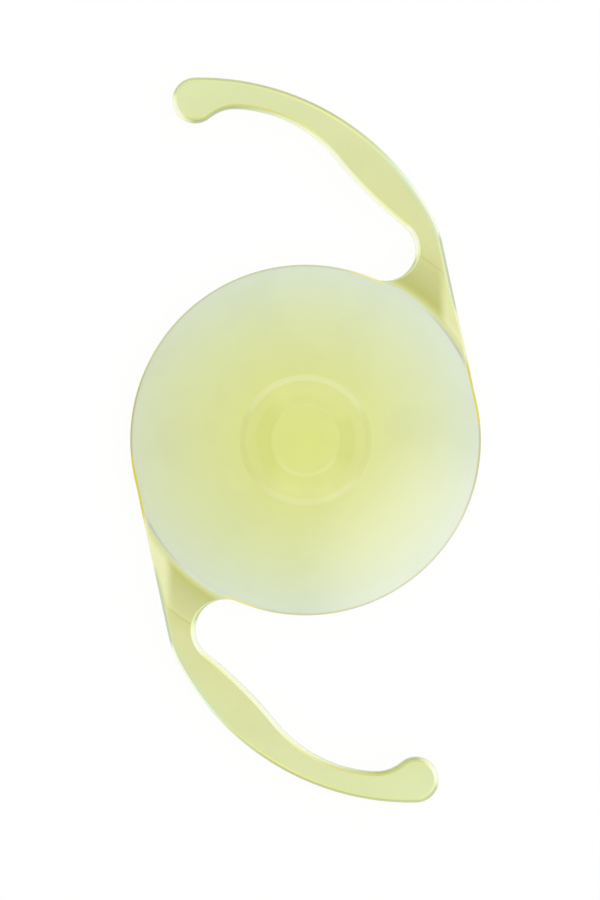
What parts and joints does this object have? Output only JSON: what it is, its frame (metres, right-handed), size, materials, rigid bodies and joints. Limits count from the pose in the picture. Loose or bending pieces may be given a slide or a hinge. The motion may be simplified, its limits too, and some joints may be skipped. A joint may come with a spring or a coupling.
{
  "type": "intraocular lens",
  "caption": "Foldable one-piece intraocular lens: a biconvex disc with a raised central zone and curved, bulb-ended arms that spring outwards to centre it in the eye.",
  "frame": {"origin": "on the optical axis, at the lowest point of the posterior face", "axes": "+Z along the optical axis, out of the anterior face; +Y along the longer side of the plan, towards the haptic that leaves the optic on the +X side"},
  "size_m": [0.006, 0.0124, 0.0006],
  "materials": {
    "lens_acrylic": "clear soft acrylic with a faint yellow tint, polished"
  },
  "bodies": {
    "root": {"intraocular_lens": "lens_acrylic"}
  },
  "joints": []
}
